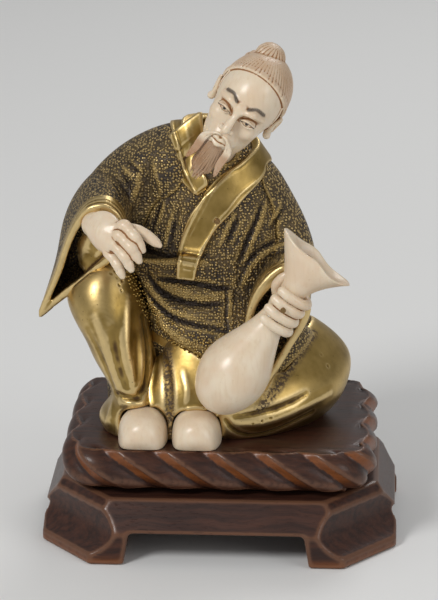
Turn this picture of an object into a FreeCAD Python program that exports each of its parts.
"""Seated sage ornament: ivory head, hands, feet and flask set in a hollow bronze robe.

The robed figure sits on a carved hardwood stand with a rope-twist edge and four
scooped corner feet, and lifts off the stand on two locating pegs.
Sizes are in millimetres. X is to the viewer's right, Y away from the viewer, Z up.
The origin is on the floor, under the middle of the stand.
"""
import FreeCAD
import Part
import math
import os

Vec = FreeCAD.Vector

# Stand: lower plinth
PLINTH_WIDTH = 107.0
PLINTH_DEPTH = 88.0
PLINTH_HEIGHT = 19.0
PLINTH_SLOPE = 6.0
FOOT_HEIGHT = 9.8
FOOT_FLARE = 1.6
CORNER_CUT_X = 15.6
CORNER_CUT_Y = 19.0
FRONT_ARCH_WIDTH = 52.0
SIDE_ARCH_WIDTH = 34.0
SCOOP_DEPTH = 6.3
SCOOP_RADIUS = 10.2
SCOOP_FOOT_BAND = 3.4

# Stand: upper slab with the rope-twist edge
SLAB_WIDTH = 94.6
SLAB_DEPTH = 74.0
SLAB_THICKNESS = 12.0
SLAB_CORNER_RADIUS = 14.0
SLAB_FORWARD = 1.0
WAIST_HEIGHT = 2.2
WAIST_INSET = 9.0
EDGE_ROUND = 2.6
LONG_SIDE_STRANDS = 6
SHORT_SIDE_STRANDS = 4
ROPE_GROOVE = 1.5
ROPE_TWIST = 17.0
RIDGE_FALL_SHARE = 0.6

# Stand fasteners
SCREW_SPACING = 50.0
SCREW_SHANK_DIAMETER = 3.0
SCREW_HEAD_DIAMETER = 6.0
SCREW_HEAD_HEIGHT = 2.0
SCREW_REACH = 5.0
SCREW_SLOT_WIDTH = 0.8
SCREW_SLOT_DEPTH = 0.7

# Figure: its overall block, from sleeve tip to knee, toe to back, seat to crown
FIGURE_WIDTH = 94.0
FIGURE_DEPTH = 62.0
FIGURE_HEIGHT = 116.8

# Bronze robe
COAT_WALL_SHARE = 0.80
COAT_CAVITY_SHARE = 0.60
POCKET_WIDTH_SHARE = 0.8
POCKET_DEPTH_SHARE = 0.5
LAPEL_WIDTH = 9.4
LAPEL_THICKNESS = 1.6
CARVING_GAP = 0.25
OVERRUN = 60.0

# Locating pegs under the robe
PEG_DIAMETER = 4.0
PEG_LENGTH = 6.0
PEG_HOLD = 5.0
PEG_CLEARANCE = 0.15

# Ivory head
SKULL_WIDTH = 20.0
SKULL_DEPTH = 25.0
SKULL_HEIGHT = 27.0
JAW_WIDTH = 15.6
JAW_DEPTH = 18.0
JAW_HEIGHT = 22.0
HEAD_ROLL = 33.0
HEAD_PITCH = 8.0
HEAD_TURN = -9.0
TOPKNOT_DIAMETER = 9.6
TOPKNOT_HEIGHT = 7.0
TOPKNOT_BAND = 1.3
HAIR_THICKNESS = 0.8
EAR_LENGTH = 9.0
EAR_WIDTH = 4.2
EAR_THICKNESS = 2.2
NOSE_LENGTH = 7.2
NOSE_WIDTH = 4.4
NOSE_REACH = 2.4
BEARD_LENGTH = 13.6
BEARD_TIP_WIDTH = 5.8
BEARD_ROOT_WIDTH = 4.6
BEARD_THICKNESS = 3.0
MOUSTACHE_DIAMETER = 2.1
BROW_THICKNESS = 1.5
EYE_WIDTH = 4.6
EYE_HEIGHT = 2.3
LIP_WIDTH = 5.2
LIP_THICKNESS = 1.5
CHEEK_SIZE = 7.4
CHIN_SIZE = 7.0
NECK_DIAMETER = 9.4

# Ivory hands
FINGER_DIAMETER = 3.5
THUMB_DIAMETER = 3.7
PALM_LENGTH = 15.0
PALM_WIDTH = 11.5
PALM_THICKNESS = 6.4
WRIST_DIAMETER = 8.4
WRIST_TENON_DIAMETER = 6.0

# Ivory feet
TOE_WIDTH = 14.4
TOE_HEIGHT = 10.2
TOE_LENGTH = 15.0

# Ivory flask
FLASK_LENGTH = 54.5
FLASK_BODY_DIAMETER = 21.0
FLASK_MOUTH_WAVE = 1.0
FLASK_WALL = 1.1
FLASK_WAVE_POINTS = 24
FLASK_WAVE_COUNT = 4
FLASK_HOLLOW_ROWS = 4

# Retaining pins
PIN_DIAMETER = 1.3
PIN_LENGTH = 4.0
PIN_HEAD_DIAMETER = 1.7
PIN_HEAD_HEIGHT = 0.5

SLAB_BOTTOM = PLINTH_HEIGHT + WAIST_HEIGHT
SEAT_Z = SLAB_BOTTOM + SLAB_THICKNESS
RING_POINTS = 16
FLAT_SHARE = 0.2
SLOPE_STEP_SHARE = 0.012
LAPEL_LEAN_SHARE = 0.6


def place(x_share, y_share, z_share):
    """A point of the figure, in shares of its block above the seat."""
    return Vec(x_share * FIGURE_WIDTH, y_share * FIGURE_DEPTH, SEAT_Z + z_share * FIGURE_HEIGHT)


def middle_of(points):
    """The mean of a ring of points."""
    return sum(points, Vec(0, 0, 0)) * (1 / len(points))


def smooth_ring(points):
    """A closed smooth curve through the points, evenly parametrised so that rings match."""
    count = len(points)
    curve = Part.BSplineCurve()
    curve.interpolate(Points=points, PeriodicFlag=True, Parameters=[i / count for i in range(count + 1)])
    return Part.Wire(curve.toShape())


def skin(rings):
    """A solid lofted smoothly through closed rings, the first and last of them flat."""
    solid = Part.makeLoft([smooth_ring(ring) for ring in rings], True, False)
    return solid if solid.Volume > 0 else solid.reversed()


def biggest(shape):
    """The largest solid of a cut, so that no sliver is kept."""
    return max(shape.Solids, key=lambda solid: solid.Volume)


def oval(centre, across, along, power=2.0, count=RING_POINTS):
    """Points of a rounded oval about a centre, with two half-axis vectors."""
    ring = []
    for i in range(count):
        angle = 2 * math.pi * i / count
        c, s = math.cos(angle), math.sin(angle)
        u = math.copysign(abs(c) ** (2 / power), c)
        v = math.copysign(abs(s) ** (2 / power), s)
        ring.append(centre + across * u + along * v)
    return ring


def level_rings(shares, grow=0.0, turn=0.0, power=2.0, ease=1.0):
    """Horizontal ovals from rows of (height, x, y, half width, half depth) shares."""
    c, s = math.cos(math.radians(turn)), math.sin(math.radians(turn))
    rings = []
    for z, x, y, half_width, half_depth in shares:
        across = half_width * FIGURE_WIDTH * ease + grow
        along = half_depth * FIGURE_DEPTH * ease + grow
        rings.append(oval(place(x, y, z), Vec(c, s, 0) * across, Vec(-s, c, 0) * along, power))
    return rings


def limb(path, radii, flat=1.0, side=Vec(0, 0, 1)):
    """A tapered round or flattened rod along a path of points."""
    rings = []
    for i, point in enumerate(path):
        before = path[max(i - 1, 0)]
        after = path[min(i + 1, len(path) - 1)]
        along = (after - before).normalize()
        across = along.cross(side).normalize()
        rings.append(oval(point, across * radii[i] * flat, across.cross(along) * radii[i], count=12))
    return skin(rings)


def ellipsoid(centre, half_x, half_y, half_z, axes=None):
    """A solid ellipsoid, with its three axes along the frame or along given axes."""
    right, back, up = axes or (Vec(1, 0, 0), Vec(0, 1, 0), Vec(0, 0, 1))
    levels = 9
    rings = []
    for i in range(levels):
        angle = math.pi * (i + 0.35) / (levels - 0.3) - math.pi / 2
        rings.append(
            oval(
                centre + up * (half_z * math.sin(angle)),
                right * (half_x * math.cos(angle)),
                back * (half_y * math.cos(angle)),
                count=12,
            )
        )
    return skin(rings)


def rounded_perimeter(half_x, half_y, radius, share):
    """A point and outward direction at a share of a rounded rectangle's perimeter."""
    straight_x = 2 * (half_x - radius)
    straight_y = 2 * (half_y - radius)
    quarter = math.pi * radius / 2
    total = 2 * (straight_x + straight_y) + 4 * quarter
    s = (share % 1.0) * total
    corners = (
        (half_x - radius, -(half_y - radius), -90.0),
        (half_x - radius, half_y - radius, 0.0),
        (-(half_x - radius), half_y - radius, 90.0),
        (-(half_x - radius), -(half_y - radius), 180.0),
    )
    sides = (straight_x, straight_y, straight_x, straight_y)
    starts = (
        (-(half_x - radius), -half_y, 1, 0),
        (half_x, -(half_y - radius), 0, 1),
        (half_x - radius, half_y, -1, 0),
        (-half_x, half_y - radius, 0, -1),
    )
    for side, start, corner in zip(sides, starts, corners):
        if s <= side:
            x, y, dx, dy = start
            return Vec(x + dx * s, y + dy * s, 0), Vec(dy, -dx, 0)
        s -= side
        if s <= quarter:
            angle = math.radians(corner[2]) + s / radius
            out = Vec(math.cos(angle), math.sin(angle), 0)
            return Vec(corner[0], corner[1], 0) + out * radius, out
        s -= quarter
    return Vec(-(half_x - radius), -half_y, 0), Vec(0, -1, 0)


def strand_phase(share):
    """How many rope strands lie before a share of the slab's perimeter."""
    quarter = math.pi * SLAB_CORNER_RADIUS / 2
    long_side = SLAB_WIDTH - 2 * SLAB_CORNER_RADIUS + quarter
    short_side = SLAB_DEPTH - 2 * SLAB_CORNER_RADIUS + quarter
    total = 2 * (long_side + short_side)
    s = (share % 1.0) * total + quarter / 2
    strands = 0
    for length, count in (
        (long_side, LONG_SIDE_STRANDS), (short_side, SHORT_SIDE_STRANDS),
        (long_side, LONG_SIDE_STRANDS), (short_side, SHORT_SIDE_STRANDS),
    ):
        if s <= length:
            return strands + s / length * count
        s -= length
        strands += count
    return strands + s / long_side * LONG_SIDE_STRANDS


def slab_solid():
    """The upper slab: its side is one twisted rope of carved strands, on a plain waist."""
    half_x, half_y = SLAB_WIDTH / 2, SLAB_DEPTH / 2
    perimeter = 4 * (half_x + half_y) - (8 - 2 * math.pi) * SLAB_CORNER_RADIUS
    points_per_strand = 8
    count = 2 * (LONG_SIDE_STRANDS + SHORT_SIDE_STRANDS) * points_per_strand
    rings = []
    for level in (0.0, 0.12, 0.3, 0.5, 0.7, 0.88, 1.0):
        off_centre = abs(2 * level - 1)
        tuck = EDGE_ROUND * off_centre**3
        turn_share = ROPE_TWIST * (1 - level) / perimeter
        ring = []
        for i in range(count):
            share = i / count
            phase = strand_phase(share - turn_share) % 1.0
            if phase < RIDGE_FALL_SHARE:
                height = 1 - (phase / RIDGE_FALL_SHARE) ** 2
            else:
                height = ((phase - RIDGE_FALL_SHARE) / (1 - RIDGE_FALL_SHARE)) ** 1.3
            point, out = rounded_perimeter(half_x, half_y, SLAB_CORNER_RADIUS, share)
            point = point - out * (tuck + ROPE_GROOVE * (1 - height))
            ring.append(point + Vec(0, -SLAB_FORWARD, SLAB_BOTTOM + level * SLAB_THICKNESS))
        rings.append(ring)
    slab = skin(rings)
    waist = Part.makeBox(
        SLAB_WIDTH - 2 * WAIST_INSET,
        SLAB_DEPTH - 2 * WAIST_INSET,
        WAIST_HEIGHT,
        Vec(-half_x + WAIST_INSET, -half_y + WAIST_INSET - SLAB_FORWARD, PLINTH_HEIGHT),
    )
    return slab.fuse(waist)


def corner_octagon(half_x, half_y, cut_x, cut_y, z):
    """A rectangle with its corners cut off, as a closed wire."""
    corners = []
    for sx, sy in ((-1, -1), (1, -1), (1, 1), (-1, 1)):
        near_x = Vec(sx * (half_x - cut_x), sy * half_y, z)
        near_y = Vec(sx * half_x, sy * (half_y - cut_y), z)
        corners += [near_x, near_y] if sx * sy < 0 else [near_y, near_x]
    return Part.makePolygon(corners + corners[:1])


def plinth_solid():
    """The lower plinth: sloping sides, four bracket feet and a scoop in each corner."""
    half_x, half_y = PLINTH_WIDTH / 2, PLINTH_DEPTH / 2
    lower = corner_octagon(half_x, half_y, CORNER_CUT_X, CORNER_CUT_Y, 0)
    waist = corner_octagon(half_x, half_y, CORNER_CUT_X, CORNER_CUT_Y, FOOT_HEIGHT)
    upper = corner_octagon(
        half_x - PLINTH_SLOPE, half_y - PLINTH_SLOPE, CORNER_CUT_X, CORNER_CUT_Y, PLINTH_HEIGHT
    )
    body = Part.makeLoft([lower, waist], True, True).fuse(Part.makeLoft([waist, upper], True, True))
    front_half = FRONT_ARCH_WIDTH / 2
    side_half = SIDE_ARCH_WIDTH / 2
    for half_gap, along in ((front_half, Vec(0, 1, 0)), (side_half, Vec(1, 0, 0))):
        across = Vec(along.y, along.x, 0)
        reach = along * (PLINTH_WIDTH + OVERRUN)
        profile = [
            across * -(half_gap + FOOT_FLARE),
            across * (half_gap + FOOT_FLARE),
            across * half_gap + Vec(0, 0, FOOT_HEIGHT),
            across * -half_gap + Vec(0, 0, FOOT_HEIGHT),
        ]
        profile = [point - reach / 2 for point in profile]
        body = body.cut(Part.Face(Part.makePolygon(profile + profile[:1])).extrude(reach))
    mid_x = half_x - CORNER_CUT_X / 2
    mid_y = half_y - CORNER_CUT_Y / 2
    for sx, sy in ((-1, -1), (1, -1), (1, 1), (-1, 1)):
        out = Vec(sx * CORNER_CUT_Y, sy * CORNER_CUT_X, 0).normalize()
        across = Vec(-out.y, out.x, 0)
        face = Vec(sx * mid_x, sy * mid_y, 0)
        rise = math.sqrt(SCOOP_RADIUS**2 - (SCOOP_RADIUS - SCOOP_DEPTH) ** 2)
        axis = face + out * (SCOOP_RADIUS - SCOOP_DEPTH) + Vec(0, 0, SCOOP_FOOT_BAND + rise)
        start = axis - across * PLINTH_DEPTH
        body = body.cut(Part.makeCylinder(SCOOP_RADIUS, PLINTH_DEPTH * 2, start, across))
    return biggest(body)


COAT_SHARES = (
    (0.000, -0.032, 0.145, 0.351, 0.355),
    (0.075, -0.032, 0.137, 0.356, 0.355),
    (0.187, -0.032, 0.097, 0.330, 0.347),
    (0.281, -0.027, 0.065, 0.293, 0.323),
    (0.384, -0.027, 0.048, 0.255, 0.282),
    (0.486, -0.032, 0.056, 0.239, 0.258),
    (0.572, -0.043, 0.065, 0.229, 0.242),
    (0.640, -0.048, 0.065, 0.202, 0.210),
    (0.692, -0.043, 0.065, 0.165, 0.169),
    (0.730, -0.037, 0.056, 0.112, 0.137),
    (0.752, -0.032, 0.048, 0.094, 0.121),
)
APRON_SHARES = (
    (0.100, 0.032, -0.113, 0.287, 0.230),
    (0.195, 0.011, -0.113, 0.303, 0.235),
    (0.281, -0.025, -0.129, 0.275, 0.215),
    (0.330, -0.055, -0.113, 0.232, 0.180),
    (0.380, -0.090, -0.100, 0.200, 0.155),
    (0.452, -0.212, -0.120, 0.075, 0.100),
)
# The coat's front hem in X and height shares, from the right knee round to the left hip
HEM_SHARES = (
    (-0.340, 0.470), (-0.290, 0.430), (-0.240, 0.350), (-0.170, 0.275), (-0.100, 0.232),
    (-0.040, 0.205), (0.060, 0.150), (0.140, 0.118), (0.200, 0.165), (0.260, 0.212), (0.340, 0.268),
)
RIGHT_LEG_SHARES = (
    (0.000, -0.261, -0.210, 0.112, 0.218),
    (0.067, -0.261, -0.218, 0.106, 0.218),
    (0.118, -0.282, -0.234, 0.072, 0.202),
    (0.161, -0.298, -0.226, 0.085, 0.202),
    (0.229, -0.324, -0.202, 0.104, 0.218),
    (0.315, -0.362, -0.169, 0.123, 0.234),
    (0.382, -0.378, -0.145, 0.112, 0.218),
    (0.424, -0.372, -0.145, 0.080, 0.165),
    (0.443, -0.362, -0.145, 0.040, 0.097),
)
LEFT_LEG_TURN = 42.0
LEFT_LEG_SHARES = (
    (0.000, 0.149, -0.145, 0.213, 0.153),
    (0.041, 0.170, -0.153, 0.250, 0.194),
    (0.092, 0.181, -0.129, 0.271, 0.226),
    (0.144, 0.186, -0.081, 0.271, 0.226),
    (0.187, 0.186, -0.032, 0.229, 0.202),
    (0.232, 0.176, 0.016, 0.160, 0.169),
    (0.268, 0.160, 0.048, 0.085, 0.113),
)
SKIRT_SHARES = (
    (0.000, -0.085, -0.290, 0.181, 0.153),
    (0.092, -0.085, -0.290, 0.176, 0.153),
    (0.160, -0.069, -0.256, 0.154, 0.145),
    (0.230, -0.048, -0.210, 0.128, 0.113),
    (0.290, -0.043, -0.190, 0.106, 0.080),
)
# Each sleeve: upper-arm ovals (x, y, height, half depth, half height), then the bell's
# slanted sections as (y, lean, outline in X and height), from the open mouth inwards
RIGHT_ARM_SHARES = (
    (-0.106, 0.081, 0.623, 0.210, 0.130),
    (-0.191, 0.081, 0.632, 0.210, 0.128),
    (-0.255, 0.089, 0.608, 0.202, 0.116),
    (-0.325, 0.073, 0.572, 0.190, 0.106),
    (-0.392, 0.065, 0.542, 0.165, 0.086),
    (-0.440, 0.056, 0.528, 0.105, 0.050),
)
RIGHT_BELL_SHARES = (
    (-0.339, 0.365, (
        (-0.372, 0.611), (-0.426, 0.593), (-0.464, 0.546), (-0.496, 0.482), (-0.532, 0.396),
        (-0.581, 0.298), (-0.532, 0.328), (-0.463, 0.375), (-0.399, 0.422), (-0.340, 0.465),
        (-0.306, 0.521), (-0.315, 0.580),
    )),
    (-0.145, 0.226, (
        (-0.362, 0.636), (-0.431, 0.615), (-0.479, 0.563), (-0.511, 0.499), (-0.537, 0.418),
        (-0.562, 0.332), (-0.505, 0.349), (-0.441, 0.384), (-0.383, 0.426), (-0.330, 0.469),
        (-0.293, 0.525), (-0.298, 0.593),
    )),
    (0.032, 0.113, (
        (-0.346, 0.657), (-0.420, 0.636), (-0.477, 0.585), (-0.509, 0.521), (-0.516, 0.452),
        (-0.505, 0.392), (-0.457, 0.392), (-0.404, 0.414), (-0.351, 0.443), (-0.303, 0.482),
        (-0.271, 0.538), (-0.282, 0.610),
    )),
    (0.177, 0.048, (
        (-0.330, 0.657), (-0.388, 0.640), (-0.436, 0.602), (-0.463, 0.546), (-0.463, 0.491),
        (-0.436, 0.452), (-0.394, 0.443), (-0.351, 0.452), (-0.314, 0.473), (-0.282, 0.508),
        (-0.266, 0.555), (-0.282, 0.615),
    )),
    (0.258, 0.000, (
        (-0.330, 0.615), (-0.362, 0.610), (-0.394, 0.593), (-0.410, 0.563), (-0.410, 0.529),
        (-0.388, 0.503), (-0.362, 0.495), (-0.335, 0.499), (-0.314, 0.512), (-0.298, 0.533),
        (-0.293, 0.563), (-0.303, 0.598),
    )),
)
RIGHT_MOUTH_TOP = 0.606
LEFT_ARM_SHARES = (
    (0.032, 0.065, 0.620, 0.160, 0.096),
    (0.068, 0.073, 0.602, 0.169, 0.096),
    (0.104, 0.073, 0.556, 0.161, 0.096),
    (0.150, 0.065, 0.490, 0.153, 0.094),
    (0.190, 0.016, 0.420, 0.145, 0.087),
    (0.198, -0.081, 0.380, 0.134, 0.080),
    (0.196, -0.194, 0.370, 0.126, 0.074),
    (0.192, -0.266, 0.368, 0.115, 0.068),
)
LEFT_BELL_SHARES = (
    (-0.347, -0.130, (
        (0.191, 0.456), (0.138, 0.418), (0.101, 0.366), (0.083, 0.307), (0.072, 0.238),
        (0.080, 0.161), (0.112, 0.106), (0.151, 0.148), (0.191, 0.199), (0.232, 0.259),
        (0.277, 0.324), (0.271, 0.401),
    )),
    (-0.194, -0.080, (
        (0.191, 0.461), (0.133, 0.426), (0.098, 0.375), (0.085, 0.315), (0.080, 0.255),
        (0.090, 0.195), (0.122, 0.161), (0.160, 0.182), (0.197, 0.221), (0.239, 0.272),
        (0.280, 0.332), (0.271, 0.409),
    )),
    (-0.032, 0.000, (
        (0.191, 0.452), (0.144, 0.426), (0.117, 0.384), (0.112, 0.341), (0.112, 0.298),
        (0.122, 0.268), (0.149, 0.255), (0.181, 0.264), (0.213, 0.289), (0.250, 0.324),
        (0.277, 0.366), (0.261, 0.426),
    )),
    (0.065, 0.000, (
        (0.191, 0.439), (0.160, 0.426), (0.144, 0.401), (0.138, 0.375), (0.140, 0.349),
        (0.149, 0.332), (0.170, 0.324), (0.191, 0.328), (0.218, 0.341), (0.243, 0.362),
        (0.255, 0.392), (0.239, 0.426),
    )),
)
LEFT_MOUTH_TOP = 0.456
# Lapel centre lines on the coat: degrees round from the front, height and width shares
UNDER_LAPEL_SHARES = (
    (-4.5, 0.627, 0.56), (-14.0, 0.660, 0.78), (-36.0, 0.706, 0.95), (-75.0, 0.738, 1.0),
    (-120.0, 0.748, 0.95), (-165.0, 0.746, 0.9), (-210.0, 0.735, 0.85), (-248.0, 0.715, 0.8),
)
OVER_LAPEL_SHARES = (
    (122.0, 0.708, 0.80), (85.0, 0.694, 0.88), (50.0, 0.671, 0.90), (26.0, 0.638, 0.98),
    (7.0, 0.588, 0.98), (-6.0, 0.540, 0.92), (-13.0, 0.493, 0.84), (-18.5, 0.442, 0.75), (-21.5, 0.402, 0.68),
)
LAPEL_PIN_SHARES = (6.5, 0.553)
# Flask: base and mouth centre, and radius shares along its length
FLASK_BASE_SHARES = (-0.033, -0.482, 0.100)
FLASK_MOUTH_SHARES = (0.306, -0.432, 0.500)
FLASK_PROFILE_SHARES = (
    (0.006, 0.18), (0.030, 0.46), (0.075, 0.70), (0.150, 0.90), (0.240, 1.00), (0.330, 0.94),
    (0.420, 0.74), (0.500, 0.52), (0.580, 0.385), (0.680, 0.325), (0.770, 0.33), (0.850, 0.46),
    (0.920, 0.64), (0.980, 0.84), (1.040, 1.04),
)
FINGER_STATIONS_SHARES = (0.797, 0.737, 0.677, 0.617)
FINGER_PIN_STATION_SHARE = 0.722
# Head: centre of the skull, and the socket in the collar
HEAD_SHARES = (0.076, -0.194, 0.858)
NECK_SOCKET_SHARES = (-0.032, 0.040, 0.668)
# Beard sections: step down its fall, width and thickness
BEARD_SECTIONS_SHARES = (
    (0.0, 0.75, 0.80), (0.25, 0.85, 1.0), (0.60, 1.10, 1.0), (0.92, 1.26, 0.75), (1.0, 1.20, 0.45),
)
# Right hand: palm, wrist and fingertips
RIGHT_PALM_SHARES = (-0.352, -0.440, 0.558)
RIGHT_WRIST_SHARES = (-0.392, -0.330, 0.560)
RIGHT_SOCKET_SHARES = (-0.392, -0.060, 0.560)
RIGHT_KNUCKLE_SHARES = (
    (-0.290, -0.490, 0.583), (-0.304, -0.505, 0.560), (-0.320, -0.500, 0.535), (-0.340, -0.480, 0.512),
)
RIGHT_BEND_SHARES = (
    (-0.256, -0.530, 0.562), (-0.266, -0.550, 0.537), (-0.287, -0.545, 0.512), (-0.312, -0.525, 0.488),
)
RIGHT_TIP_SHARES = (
    (-0.233, -0.530, 0.527), (-0.243, -0.550, 0.503), (-0.268, -0.550, 0.480), (-0.296, -0.535, 0.459),
)
RIGHT_THUMB_SHARES = (
    (-0.300, -0.450, 0.570), (-0.245, -0.460, 0.566), (-0.205, -0.470, 0.545), (-0.182, -0.480, 0.532),
)
WRIST_INNER_SHARES = (-0.392, -0.200, 0.560)
LEFT_SOCKET_SHARES = (0.187, -0.130, 0.368)
# Feet: middle of each toe cap at its front end
RIGHT_TOE_SHARES = (-0.241, -0.600)
LEFT_TOE_SHARES = (-0.070, -0.600)
# A toe cap's sections from its tip inwards: step along its length, width and height
TOE_SECTIONS_SHARES = (
    (0.0, 0.74, 0.74), (0.06, 0.88, 0.90), (0.25, 0.98, 0.99), (0.60, 1.0, 1.0), (1.0, 0.94, 0.95),
)
PEG_PLACES_SHARES = ((-0.255, -0.200), (0.170, -0.230))


def plane_rings(bell, top, ease=1.0):
    """Slanted closed outlines of a sleeve's bell, optionally drawn in about their middles."""
    rings = []
    for y, lean, outline in bell:
        ring = [place(x, y + lean * (top - z), z) for x, z in outline]
        middle = middle_of(ring)
        rings.append([middle + (point - middle) * ease for point in ring])
    return rings


def sleeve_shapes(arm, bell, top):
    """The outer shape of a sleeve, and the pocket inside its open mouth."""
    rings = []
    for x, y, z, half_depth, half_height in arm:
        rings.append((place(x, y, z), half_depth * FIGURE_DEPTH, half_height * FIGURE_HEIGHT))
    upper = []
    for i, (point, half_depth, half_height) in enumerate(rings):
        along = (rings[min(i + 1, len(rings) - 1)][0] - rings[max(i - 1, 0)][0]).normalize()
        across = Vec(0, 1, 0) - along * along.y
        across = across.normalize() if across.Length > FLAT_SHARE else Vec(1, 0, 0)
        upper.append(oval(point, across * half_depth, along.cross(across) * half_height))
    outer = skin(upper).fuse(skin(plane_rings(bell, top)))
    mouth, second, third = plane_rings(bell, top, POCKET_WIDTH_SHARE)[:3]
    mouth_middle, second_middle, third_middle = (middle_of(ring) for ring in (mouth, second, third))
    outward = (mouth_middle - second_middle) * POCKET_DEPTH_SHARE
    before = [point + outward for point in mouth]
    last_middle = second_middle + (third_middle - second_middle) * POCKET_DEPTH_SHARE
    last = [last_middle + (point - second_middle) * POCKET_WIDTH_SHARE for point in second]
    return outer, skin([before, mouth, second, last])


def coat_row(height):
    """The coat's middle and half sizes at a height share, between its table rows."""
    rows = COAT_SHARES
    for low, high in zip(rows, rows[1:]):
        if height <= high[0]:
            t = (height - low[0]) / (high[0] - low[0])
            return [a + (b - a) * t for a, b in zip(low[1:], high[1:])]
    return rows[-1][1:]


def coat_point(degrees, height):
    """A point of the coat's surface round from the front, and the way it faces."""
    angle = math.radians(degrees)

    def reach(at_height):
        x, y, half_width, half_depth = coat_row(at_height)
        across = half_width * FIGURE_WIDTH * math.sin(angle)
        forward = half_depth * FIGURE_DEPTH * math.cos(angle)
        return place(x, y, at_height), Vec(across, -forward, 0)

    middle, offset = reach(height)
    narrowing = reach(height + SLOPE_STEP_SHARE)[1].Length - reach(height - SLOPE_STEP_SHARE)[1].Length
    slope = narrowing / (2 * SLOPE_STEP_SHARE * FIGURE_HEIGHT)
    out = Vec(math.sin(angle), -math.cos(angle), -slope * LAPEL_LEAN_SHARE)
    return middle + offset, out.normalize()


def band(rows):
    """A raised strap lying on the coat, half sunk into it and facing straight out."""
    path, outs = zip(*(coat_point(degrees, height) for degrees, height, _ in rows))
    wires = []
    for i, point in enumerate(path):
        along = (path[min(i + 1, len(path) - 1)] - path[max(i - 1, 0)]).normalize()
        out = (outs[i] - along * outs[i].dot(along)).normalize()
        across = along.cross(out).normalize() * (LAPEL_WIDTH * rows[i][2] / 2)
        deep = out * LAPEL_THICKNESS
        corners = [point + across + deep, point - across + deep, point - across - deep, point + across - deep]
        wires.append(Part.makePolygon(corners + corners[:1]))
    solid = Part.makeLoft(wires, True, False)
    return solid if solid.Volume > 0 else solid.reversed()


def flask_axis():
    base = place(*FLASK_BASE_SHARES)
    mouth = place(*FLASK_MOUTH_SHARES)
    return base, (mouth - base).normalize()


def flask_frame():
    """The flask's axis, the direction out of the flask towards the viewer, and its side."""
    _, along = flask_axis()
    front = Vec(0, -1, 0) + along * along.y
    front = front.normalize()
    return along, front, along.cross(front)


def flask_radius(station, grow=0.0):
    """The flask's radius at a share of its length."""
    rows = FLASK_PROFILE_SHARES
    for (s0, r0), (s1, r1) in zip(rows, rows[1:]):
        if s0 <= station <= s1:
            share = r0 + (r1 - r0) * (station - s0) / (s1 - s0)
            return share * FLASK_BODY_DIAMETER / 2 + grow
    return rows[-1][1] * FLASK_BODY_DIAMETER / 2 + grow


def flask_solid(grow=0.0):
    """The flask, egg-shaped below, flaring to a wavy lip and hollow inside its mouth."""
    base, along = flask_axis()
    _, front, side = flask_frame()

    def turned(rows):
        rings = []
        for station, radius in rows:
            middle = base + along * (station * FLASK_LENGTH)
            rings.append(oval(middle, side * radius, front * radius))
        return skin(rings)

    outside = [(row[0], row[1] * FLASK_BODY_DIAMETER / 2 + grow) for row in FLASK_PROFILE_SHARES]
    body = turned(outside)
    if grow:
        return body
    hollow = [(station, radius - FLASK_WALL) for station, radius in outside[-FLASK_HOLLOW_ROWS:]]
    body = body.cut(turned(hollow))
    wave = []
    for i in range(FLASK_WAVE_POINTS + 1):
        across = (2 * i / FLASK_WAVE_POINTS - 1) * FLASK_BODY_DIAMETER
        angle = FLASK_WAVE_COUNT * math.pi * across / FLASK_BODY_DIAMETER
        height = FLASK_LENGTH + FLASK_MOUTH_WAVE * math.cos(angle)
        wave.append(base + side * across + along * height - front * FLASK_LENGTH)
    lip = Part.BSplineCurve()
    lip.interpolate(wave)
    far = [point + along * FLASK_LENGTH for point in (wave[-1], wave[0])]
    sides = [Part.makeLine(wave[-1], far[0]), Part.makeLine(*far), Part.makeLine(far[1], wave[0])]
    edges = [lip.toShape()] + sides
    return biggest(body.cut(Part.Face(Part.Wire(edges)).extrude(front * FLASK_LENGTH * 2)))


def head_frame():
    """Centre, right, back and up axes of the head."""
    roll, pitch, turn = (math.radians(a) for a in (HEAD_ROLL, HEAD_PITCH, HEAD_TURN))
    up = Vec(math.sin(roll), 0, math.cos(roll))
    right = Vec(math.cos(roll), 0, -math.sin(roll))
    face = Vec(0, -1, 0)
    up, face = (
        up * math.cos(pitch) + face * math.sin(pitch),
        face * math.cos(pitch) - up * math.sin(pitch),
    )
    face, right = (
        face * math.cos(turn) + right * math.sin(turn),
        right * math.cos(turn) - face * math.sin(turn),
    )
    return place(*HEAD_SHARES), right, face * -1, up


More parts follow.
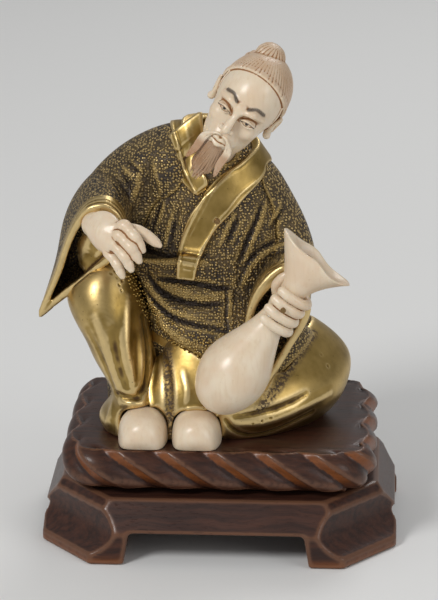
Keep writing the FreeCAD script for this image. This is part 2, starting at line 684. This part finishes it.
def head_solid():
    """The ivory head with its hair, topknot, beard and moustache, on a neck tenon."""
    centre, right, back, up = head_frame()
    axes = (right, back, up)

    def at(x, y, z):
        return centre + right * (x * SKULL_WIDTH) + back * (y * SKULL_DEPTH) + up * (z * SKULL_HEIGHT)

    solid = ellipsoid(at(0, 0.03, 0.12), SKULL_WIDTH / 2, SKULL_DEPTH / 2, SKULL_HEIGHT * 0.46, axes)
    jaw = ellipsoid(at(0, -0.06, -0.24), JAW_WIDTH / 2, JAW_DEPTH / 2, JAW_HEIGHT / 2, axes)
    solid = solid.fuse(jaw)
    hair = ellipsoid(
        at(0, 0.06, 0.14),
        SKULL_WIDTH / 2 + HAIR_THICKNESS,
        SKULL_DEPTH / 2 + HAIR_THICKNESS,
        SKULL_HEIGHT * 0.46 + HAIR_THICKNESS,
        axes,
    )
    hairline = (up * 0.55 + back * 0.83).normalize()
    reach = SKULL_HEIGHT
    floor = Part.makeBox(reach * 2, reach * 2, reach * 2, Vec(-reach, -reach, -reach * 2))
    floor.Placement = FreeCAD.Placement(at(0, -0.10, 0.16), FreeCAD.Rotation(Vec(0, 0, 1), hairline))
    solid = solid.fuse(hair.cut(floor))
    for side in (-1, 1):
        ear = ellipsoid(at(side * 0.485, 0.10, -0.07), EAR_THICKNESS / 2, EAR_WIDTH / 2, EAR_LENGTH / 2, axes)
        cheek = ellipsoid(at(side * 0.20, -0.30, -0.16), CHEEK_SIZE / 2, CHEEK_SIZE / 2, CHEEK_SIZE / 2, axes)
        brow = limb(
            [at(side * 0.08, -0.445, 0.075), at(side * 0.20, -0.435, 0.105), at(side * 0.33, -0.36, 0.085)],
            [BROW_THICKNESS * 0.45, BROW_THICKNESS * 0.55, BROW_THICKNESS * 0.35],
            side=up,
        )
        eye = ellipsoid(at(side * 0.21, -0.405, 0.0), EYE_WIDTH / 2, EYE_HEIGHT / 2, EYE_HEIGHT / 2, axes)
        solid = solid.fuse(ear).fuse(cheek).fuse(brow).fuse(eye)
    nose = limb(
        [at(0, -0.47, 0.05), at(0, -0.49, -0.03), at(0, -0.53, -0.12), at(0, -0.50, -0.17)],
        [NOSE_WIDTH * 0.26, NOSE_WIDTH * 0.30, NOSE_WIDTH * 0.42, NOSE_WIDTH * 0.30],
        side=right,
    )
    chin = ellipsoid(at(0, -0.26, -0.56), CHIN_SIZE / 2, CHIN_SIZE / 2, CHIN_SIZE / 2, axes)
    mouth = ellipsoid(at(0, -0.415, -0.30), LIP_WIDTH / 2, LIP_THICKNESS, LIP_THICKNESS / 2, axes)
    solid = solid.fuse(nose).fuse(chin).fuse(mouth)
    knot_base = at(-0.12, 0.20, 0.455)
    knot = limb(
        [knot_base + up * (h * TOPKNOT_HEIGHT) for h in (0.0, 0.16, 0.45, 0.75, 0.94, 1.0)],
        [r * TOPKNOT_DIAMETER / 2 for r in (0.86, 0.98, 1.0, 0.78, 0.40, 0.12)],
        side=right,
    )
    collar = limb(
        [knot_base + up * h for h in (-TOPKNOT_BAND, 0.0, TOPKNOT_BAND * 0.7)],
        [TOPKNOT_DIAMETER * 0.58, TOPKNOT_DIAMETER * 0.60, TOPKNOT_DIAMETER * 0.54],
        side=right,
    )
    solid = solid.fuse(knot).fuse(collar)
    root = at(0, -0.38, -0.40)
    fall = (up * -1 + back * -0.10).normalize()
    beard_rings = []
    for step, width, thick in BEARD_SECTIONS_SHARES:
        point = root + fall * (step * BEARD_LENGTH)
        beard_rings.append(
            oval(point, right * (width * BEARD_ROOT_WIDTH / 2), back * (thick * BEARD_THICKNESS / 2), 2.6)
        )
    solid = solid.fuse(skin(beard_rings))
    for side in (-1, 1):
        strand = limb(
            [
                at(side * 0.05, -0.38, -0.24),
                at(side * 0.14, -0.42, -0.29),
                at(side * 0.22, -0.42, -0.42),
                at(side * 0.23, -0.46, -0.58),
                at(side * 0.27, -0.48, -0.74),
            ],
            [MOUSTACHE_DIAMETER / 2 * r for r in (0.9, 1.1, 1.0, 0.85, 0.5)],
            side=back,
        )
        solid = solid.fuse(strand)
    socket = place(*NECK_SOCKET_SHARES)
    throat = at(0, 0.08, -0.40)
    neck = limb([throat, throat * 0.55 + socket * 0.45, socket], [NECK_DIAMETER / 2] * 3, side=back)
    return solid.fuse(neck), neck


def right_hand_solid():
    """The open hand hanging over the knee, with its wrist tenon."""
    palm_place = place(*RIGHT_PALM_SHARES)
    wrist = place(*RIGHT_WRIST_SHARES)
    socket = place(*RIGHT_SOCKET_SHARES)
    knuckles = [place(*share) for share in RIGHT_KNUCKLE_SHARES]
    across = (knuckles[-1] - knuckles[0]).normalize()
    along = (knuckles[1] + knuckles[2] - palm_place * 2).normalize()
    along = (along - across * along.dot(across)).normalize()
    axes = (along, along.cross(across), across)
    solid = ellipsoid(palm_place, PALM_LENGTH / 2, PALM_THICKNESS / 2, PALM_WIDTH / 2, axes)
    for knuckle, bend, tip in zip(knuckles, RIGHT_BEND_SHARES, RIGHT_TIP_SHARES):
        start = palm_place + (knuckle - palm_place) * 0.45
        path = [start, knuckle, place(*bend), place(*tip)]
        radii = [FINGER_DIAMETER / 2 * r for r in (1.0, 1.0, 0.92, 0.62)]
        solid = solid.fuse(limb(path, radii, side=axes[1]))
    thumb = limb(
        [place(*share) for share in RIGHT_THUMB_SHARES],
        [THUMB_DIAMETER / 2 * r for r in (1.05, 1.0, 0.85, 0.45)],
    )
    arm = limb([palm_place, wrist, place(*WRIST_INNER_SHARES)], [WRIST_DIAMETER / 2] * 3)
    tenon = limb([wrist, socket], [WRIST_TENON_DIAMETER / 2] * 2)
    return solid.fuse(thumb).fuse(arm).fuse(tenon), tenon


def left_hand_solid():
    """The fist round the flask's neck, with its wrist tenon."""
    base, along = flask_axis()
    _, front, side = flask_frame()
    grip = sum(FINGER_STATIONS_SHARES) / len(FINGER_STATIONS_SHARES)
    middle = base + along * (grip * FLASK_LENGTH)
    palm_place = middle - front * (PALM_THICKNESS * 0.8) + side * (PALM_THICKNESS * 0.30)
    axes = (side, front, along)
    solid = ellipsoid(palm_place, PALM_WIDTH * 0.46, PALM_THICKNESS * 0.62, PALM_LENGTH * 0.5, axes)
    for station in FINGER_STATIONS_SHARES:
        reach = flask_radius(station) + FINGER_DIAMETER * 0.46
        path = []
        for degrees in (150, 110, 65, 20, -25, -70):
            angle = math.radians(degrees)
            out = front * math.cos(angle) + side * math.sin(angle)
            path.append(base + along * (station * FLASK_LENGTH) + out * reach)
        radii = [FINGER_DIAMETER / 2 * r for r in (0.9, 0.96, 0.96, 0.96, 0.92, 0.7)]
        solid = solid.fuse(limb(path, radii, side=along))
    thumb = limb(
        [
            palm_place + side * (PALM_THICKNESS * 0.3),
            middle + along * (PALM_LENGTH * 0.42) + side * (PALM_THICKNESS * 0.62) - front * THUMB_DIAMETER,
            middle
            + along * (PALM_LENGTH * 0.62)
            + side * (PALM_THICKNESS * 0.70)
            - front * (THUMB_DIAMETER * 0.5),
        ],
        [THUMB_DIAMETER / 2, THUMB_DIAMETER / 2, THUMB_DIAMETER * 0.32],
        side=front,
    )
    socket = place(*LEFT_SOCKET_SHARES)
    tenon = limb([palm_place, palm_place * 0.5 + socket * 0.5, socket], [WRIST_TENON_DIAMETER / 2] * 3)
    return solid.fuse(thumb).fuse(tenon), tenon


def toe_cap(place_shares):
    """One rounded toe of a shoe, standing on the seat."""
    x, y = place_shares
    front = Vec(x * FIGURE_WIDTH, y * FIGURE_DEPTH, SEAT_Z)
    rings = []
    for step, width, height in TOE_SECTIONS_SHARES:
        half_width = width * TOE_WIDTH / 2
        half_height = height * TOE_HEIGHT * 0.62
        centre = front + Vec(0, step * TOE_LENGTH, TOE_HEIGHT * 0.38)
        rings.append(oval(centre, Vec(half_width, 0, 0), Vec(0, 0, half_height), 2.6))
    cap = skin(rings)
    trim = Part.makeBox(TOE_WIDTH * 2, TOE_LENGTH * 2, TOE_HEIGHT * 2, front - Vec(TOE_WIDTH, TOE_LENGTH, 0))
    return biggest(cap.common(trim))


def cylinder(diameter, length, start, direction=Vec(0, 0, 1)):
    return Part.makeCylinder(diameter / 2, length, start, direction)


def hem_prism():
    """Everything above the coat's front hem, right through the figure from front to back."""
    points = [place(x, 0, z) - Vec(0, OVERRUN, 0) for x, z in HEM_SHARES]
    hem = Part.BSplineCurve()
    hem.interpolate(points)
    top = SEAT_Z + FIGURE_HEIGHT
    upper_right = Vec(points[-1].x, -OVERRUN, top)
    upper_left = Vec(points[0].x, -OVERRUN, top)
    edges = [
        hem.toShape(),
        Part.makeLine(points[-1], upper_right),
        Part.makeLine(upper_right, upper_left),
        Part.makeLine(upper_left, points[0]),
    ]
    return Part.Face(Part.Wire(edges)).extrude(Vec(0, OVERRUN * 2, 0))


def stand_screw(x):
    """A slotted wood screw going up through the plinth into the slab."""
    head = cylinder(SCREW_HEAD_DIAMETER, SCREW_HEAD_HEIGHT, Vec(x, -SLAB_FORWARD, FOOT_HEIGHT))
    shank_length = SLAB_BOTTOM + SCREW_REACH - FOOT_HEIGHT
    shank = cylinder(SCREW_SHANK_DIAMETER, shank_length, Vec(x, -SLAB_FORWARD, FOOT_HEIGHT))
    slot = Part.makeBox(
        SCREW_HEAD_DIAMETER * 2,
        SCREW_SLOT_WIDTH,
        SCREW_SLOT_DEPTH,
        Vec(x - SCREW_HEAD_DIAMETER, -SLAB_FORWARD - SCREW_SLOT_WIDTH / 2, FOOT_HEIGHT),
    )
    return head.fuse(shank).removeSplitter(), slot


def rivet(point, direction, length):
    """A small pin with a low round head, driven along a direction."""
    inward = direction.normalize()
    shank = cylinder(PIN_DIAMETER, length, point, inward)
    head = cylinder(PIN_HEAD_DIAMETER, PIN_HEAD_HEIGHT, point - inward * PIN_HEAD_HEIGHT, inward)
    return head.fuse(shank).removeSplitter()


def build():
    """All the pieces, cut where they meet so that none shares space with another."""
    pieces = {}

    # Stand
    plinth = plinth_solid()
    slab = slab_solid()
    screws = []
    for x in (-SCREW_SPACING / 2, SCREW_SPACING / 2):
        screw, slot = stand_screw(x)
        plinth = plinth.cut(screw)
        slab = slab.cut(screw)
        screws.append(screw.cut(slot))
    pegs = []
    for x_share, y_share in PEG_PLACES_SHARES:
        foot = place(x_share, y_share, 0) - Vec(0, 0, PEG_LENGTH)
        pegs.append(cylinder(PEG_DIAMETER, PEG_LENGTH + PEG_HOLD, foot))
        hole = foot - Vec(0, 0, PEG_CLEARANCE)
        slab = slab.cut(cylinder(PEG_DIAMETER + 2 * PEG_CLEARANCE, PEG_LENGTH + PEG_CLEARANCE, hole))
    pieces["plinth"] = plinth
    pieces["rope_slab"] = slab
    pieces["stand_screws"] = Part.makeCompound(screws)
    pieces["locating_pegs"] = Part.makeCompound(pegs)

    # Ivory carvings
    head, neck = head_solid()
    right_hand, right_tenon = right_hand_solid()
    left_hand, left_tenon = left_hand_solid()
    flask = flask_solid()
    flask_room = flask_solid(CARVING_GAP)
    right_foot = toe_cap(RIGHT_TOE_SHARES)
    left_foot = toe_cap(LEFT_TOE_SHARES)

    # Bronze coat with its lap
    coat = skin(level_rings(COAT_SHARES))
    lap = skin(level_rings(APRON_SHARES)).common(hem_prism())
    cavity_rows = [row for row in COAT_SHARES if row[0] < COAT_CAVITY_SHARE]
    lowest = cavity_rows[0]
    cavity_rows = [(lowest[0] - (cavity_rows[1][0] - lowest[0]),) + lowest[1:]] + cavity_rows
    cavity = skin(level_rings(cavity_rows, ease=COAT_WALL_SHARE))
    coat = biggest(coat.fuse(lap).cut(cavity).cut(flask_room).cut(head))

    right_outer, right_pocket = sleeve_shapes(RIGHT_ARM_SHARES, RIGHT_BELL_SHARES, RIGHT_MOUTH_TOP)
    left_outer, left_pocket = sleeve_shapes(LEFT_ARM_SHARES, LEFT_BELL_SHARES, LEFT_MOUTH_TOP)
    right_sleeve = biggest(right_outer.cut(right_pocket).cut(coat).cut(right_hand))
    left_sleeve = biggest(left_outer.cut(left_pocket).cut(coat).cut(flask_room).cut(left_hand))

    over_lapel = biggest(band(OVER_LAPEL_SHARES).cut(coat))
    over_lapel = biggest(over_lapel.cut(left_sleeve).cut(head))
    under_lapel = biggest(band(UNDER_LAPEL_SHARES).cut(coat))
    under_lapel = biggest(under_lapel.cut(right_sleeve).cut(left_sleeve).cut(over_lapel).cut(head))

    left_hand = biggest(left_hand.cut(flask).cut(coat))
    right_hand = biggest(right_hand.cut(coat))

    right_leg = skin(level_rings(RIGHT_LEG_SHARES)).cut(coat).cut(right_sleeve).cut(right_hand)
    right_leg = biggest(right_leg.cut(right_foot).cut(pegs[0]).cut(right_pocket))
    left_leg = skin(level_rings(LEFT_LEG_SHARES, turn=LEFT_LEG_TURN)).cut(coat).cut(left_sleeve)
    left_leg = biggest(left_leg.cut(flask_room).cut(left_foot).cut(pegs[1]).cut(left_hand))
    skirt = skin(level_rings(SKIRT_SHARES)).cut(coat).cut(right_leg).cut(left_leg).cut(flask_room)
    skirt = biggest(skirt.cut(right_foot).cut(left_foot).cut(left_sleeve))

    pin_place, pin_out = coat_point(*LAPEL_PIN_SHARES)
    lapel_pin = rivet(pin_place + pin_out * LAPEL_THICKNESS, pin_out * -1, PIN_LENGTH)
    over_lapel = biggest(over_lapel.cut(lapel_pin))
    coat = biggest(coat.cut(lapel_pin))

    base, along = flask_axis()
    _, front, _ = flask_frame()
    reach = flask_radius(FINGER_PIN_STATION_SHARE) + FINGER_DIAMETER
    pin_start = base + along * (FINGER_PIN_STATION_SHARE * FLASK_LENGTH) + front * reach
    finger_pin = rivet(pin_start, front * -1, PIN_LENGTH + PIN_DIAMETER)
    left_hand = biggest(left_hand.cut(finger_pin))
    flask = biggest(flask.cut(finger_pin))

    pieces["coat"] = coat
    pieces["under_lapel"] = under_lapel
    pieces["over_lapel"] = over_lapel
    pieces["lapel_pin"] = lapel_pin
    pieces["right_sleeve"] = right_sleeve
    pieces["left_sleeve"] = left_sleeve
    pieces["right_leg"] = right_leg
    pieces["left_leg"] = left_leg
    pieces["front_skirt"] = skirt
    pieces["right_foot"] = right_foot
    pieces["left_foot"] = left_foot
    pieces["head"] = head
    pieces["right_hand"] = right_hand
    pieces["left_hand"] = left_hand
    pieces["flask"] = flask
    pieces["finger_pin"] = finger_pin
    return pieces


def main():
    os.makedirs("parts", exist_ok=True)
    for name, shape in build().items():
        if not shape.isValid() or any(solid.Volume <= 0 for solid in shape.Solids):
            print("not valid:", name)
        print(f"{name:14s} solids {len(shape.Solids)} faces {len(shape.Faces):3d} volume {shape.Volume:9.1f}")
        shape.exportStep(os.path.join("parts", name + ".step"))


main()
